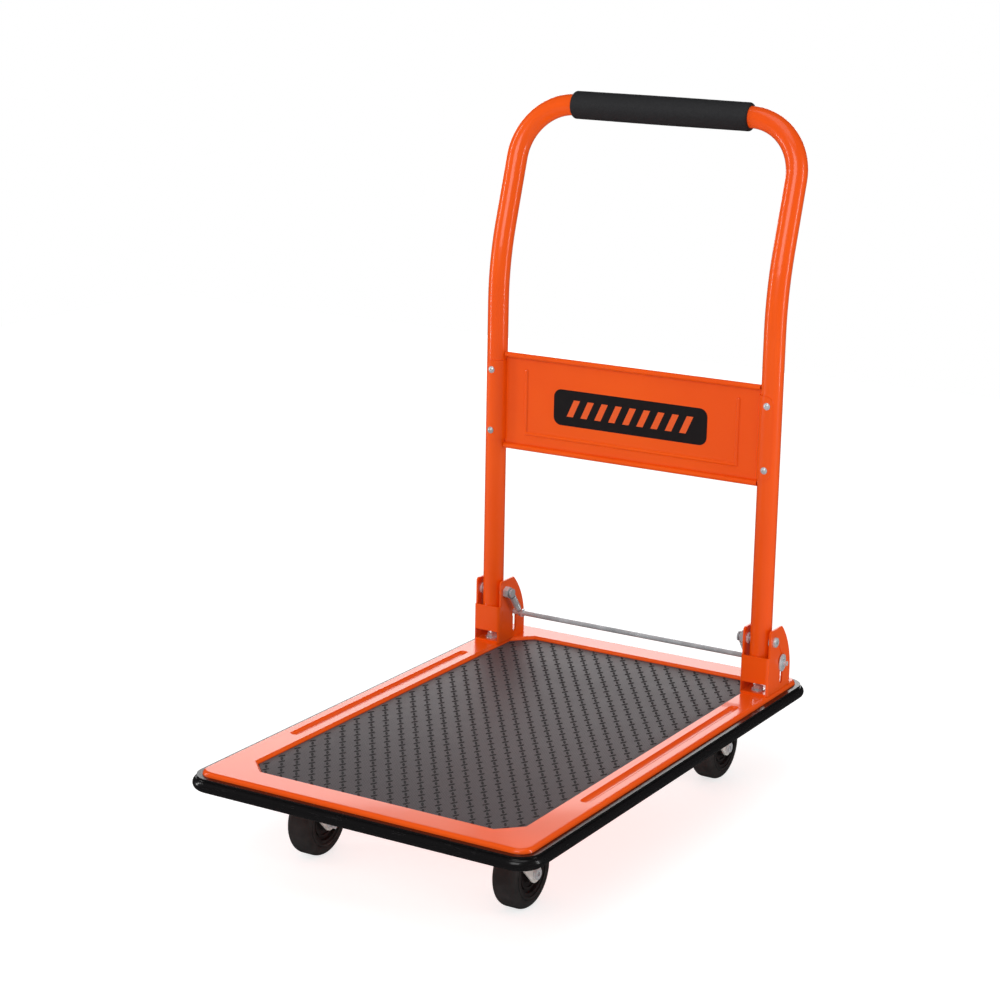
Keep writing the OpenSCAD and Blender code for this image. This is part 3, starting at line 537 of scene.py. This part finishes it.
def make_springs():
    pivot = middle(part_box("pivot_bolts"))
    bar = middle(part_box("lock_bar"))
    for side in ("left", "right"):
        node = side + "_return_spring"
        x = middle(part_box(node)).x
        top = Vector((x, pivot.y, pivot.z))
        end = Vector((x, bar.y, bar.z))
        down = (end - top).normalized()
        curve = bpy.data.curves.new(node, "CURVE")
        curve.dimensions = "3D"
        curve.bevel_depth = WIRE_R
        curve.bevel_resolution = 2
        curve.use_fill_caps = True
        line = curve.splines.new("POLY")
        path = spring_path(top, down, (end - top).length)
        line.points.add(len(path) - 1)
        for point, place in zip(line.points, path):
            point.co = (*place, 1)
        wire = bpy.data.objects.new("wire", curve)
        SCENE.collection.objects.link(wire)
        bpy.context.view_layer.update()
        bm = bmesh.new()
        bm.from_mesh(wire.to_mesh())
        bpy.data.objects.remove(wire)
        bmesh.ops.remove_doubles(bm, verts=bm.verts, dist=WIRE_MERGE)
        spring = finished(bm, side + "_coil_spring", BRIGHT_ZINC, None,
                          smooth=radians(80))
        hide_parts(node)
        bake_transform(spring)


# ---------- Lock bar washers ----------

SLOT_WASHER_L = 21 * MM
SLOT_WASHER_W = 17 * MM
SLOT_WASHER_T = 1.2 * MM
SLOT_WASHER_BORE = 3.15 * MM
SLOT_WASHER_STEPS = 40


def make_slot_washers():
    """Long washers that cover the slots, one on the outer face of each bracket."""
    low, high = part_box("lock_bar_washers")
    cy, cz = middle((low, high)).yz
    thick = SLOT_WASHER_T
    bm = bmesh.new()
    for side in (-1, 1):
        place = at(side * (high.x - thick / 2), cy, cz) @ Matrix.Rotation(pi / 2, 4, "Y")
        ring, hole = (bmesh.ops.create_circle(bm, segments=SLOT_WASHER_STEPS, radius=radius,
                                              matrix=place)["verts"]
                      for radius in (SLOT_WASHER_W / 2, SLOT_WASHER_BORE))
        for vert in ring:
            vert.co.z += (SLOT_WASHER_L - SLOT_WASHER_W) / 2 * (1 if vert.co.z > cz else -1)
        loops = {edge for vert in ring + hole for edge in vert.link_edges}
        faces = bmesh.ops.bridge_loops(bm, edges=list(loops))["faces"]
        grown = bmesh.ops.extrude_face_region(bm, geom=faces)["geom"]
        top = [v for v in grown if isinstance(v, bmesh.types.BMVert)]
        bmesh.ops.translate(bm, verts=top, vec=(side * thick / 2, 0, 0))
        bmesh.ops.translate(bm, verts=ring + hole, vec=(-side * thick / 2, 0, 0))
    washers = finished(bm, "slot_washers", BRIGHT_ZINC, "lock")
    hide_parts("lock_bar_washers")


make_mat()
make_label()
make_grip()
make_springs()
make_slot_washers()


# ---------- Floor and light ----------

FLOOR_HALF = 2.6
FLOOR_GLOW = 0.72
STUDIO_GLOW = 0.48
STUDIO_DARK = 0.03


def make_stage():
    bm = bmesh.new()
    bmesh.ops.create_grid(bm, x_segments=1, y_segments=1, size=FLOOR_HALF)
    mesh = bpy.data.meshes.new("floor")
    bm.to_mesh(mesh)
    bm.free()
    floor = bpy.data.objects.new("floor", mesh)
    SCENE.collection.objects.link(floor)
    f = Finish("pale_floor", Roughness=0.95, Specular_IOR_Level=0.0, Emission_Strength=FLOOR_GLOW)
    glossy = f.node("ShaderNodeLightPath", out="Is Glossy Ray")
    pale = f.mix(f.noise(3, 2), rgb(0.49, 0.49, 0.49), rgb(0.51, 0.51, 0.51))
    f.colour(f.mix(glossy, pale, rgb(0.02, 0.02, 0.02)))
    f.feed(f.shader.inputs["Emission Color"], f.mix(glossy, rgb(1, 1, 1), rgb(0.04, 0.04, 0.04)))
    f.material.cycles.emission_sampling = "NONE"
    mesh.materials.append(f.material)


def area_light(name, place, towards, size, power):
    data = bpy.data.lights.new(name, "AREA")
    data.shape = "RECTANGLE"
    data.size, data.size_y = size
    data.energy = power
    light = bpy.data.objects.new(name, data)
    way = Vector(towards) - Vector(place)
    light.matrix_world = at(*place) @ way.to_track_quat("-Z", "Y").to_matrix().to_4x4()
    light.visible_camera = False
    SCENE.collection.objects.link(light)


def make_world():
    """White to the camera and for soft light, nearly dark in reflections."""
    world = bpy.data.worlds.new("studio")
    world.use_nodes = True
    tree = world.node_tree
    path = tree.nodes.new("ShaderNodeLightPath")
    glow = tree.nodes.new("ShaderNodeMix")
    glow.inputs["A"].default_value = STUDIO_GLOW
    glow.inputs["B"].default_value = STUDIO_DARK
    tree.links.new(path.outputs["Is Glossy Ray"], glow.inputs["Factor"])
    shown = tree.nodes.new("ShaderNodeMix")
    shown.inputs["B"].default_value = 1.0
    tree.links.new(path.outputs["Is Camera Ray"], shown.inputs["Factor"])
    tree.links.new(glow.outputs["Result"], shown.inputs["A"])
    background = tree.nodes["Background"]
    background.inputs["Color"].default_value = rgb(1, 1, 1)
    tree.links.new(shown.outputs["Result"], background.inputs["Strength"])
    world.cycles.sampling_method = "NONE"
    SCENE.world = world
    SCENE.view_settings.view_transform = "Standard"


def make_light():
    area_light("back_wall", (-1.9, 3.2, 1.0), (0, 0, 0.1), (3.0, 1.3), 32)
    area_light("front_soft", (0.6, -3.4, 2.5), (0, 0, 0.4), (2.2, 2.0), 46)
    area_light("left_strip", (-2.2, -0.9, 0.9), (0, 0.2, 0.4), (0.16, 2.0), 12)
    area_light("right_strip", (2.6, 0.6, 0.9), (0, 0.2, 0.4), (0.16, 2.0), 14)
    area_light("top_soft", (0.2, -0.4, 2.8), (0, 0, 0), (1.6, 1.6), 9)


make_stage()
make_world()
make_light()
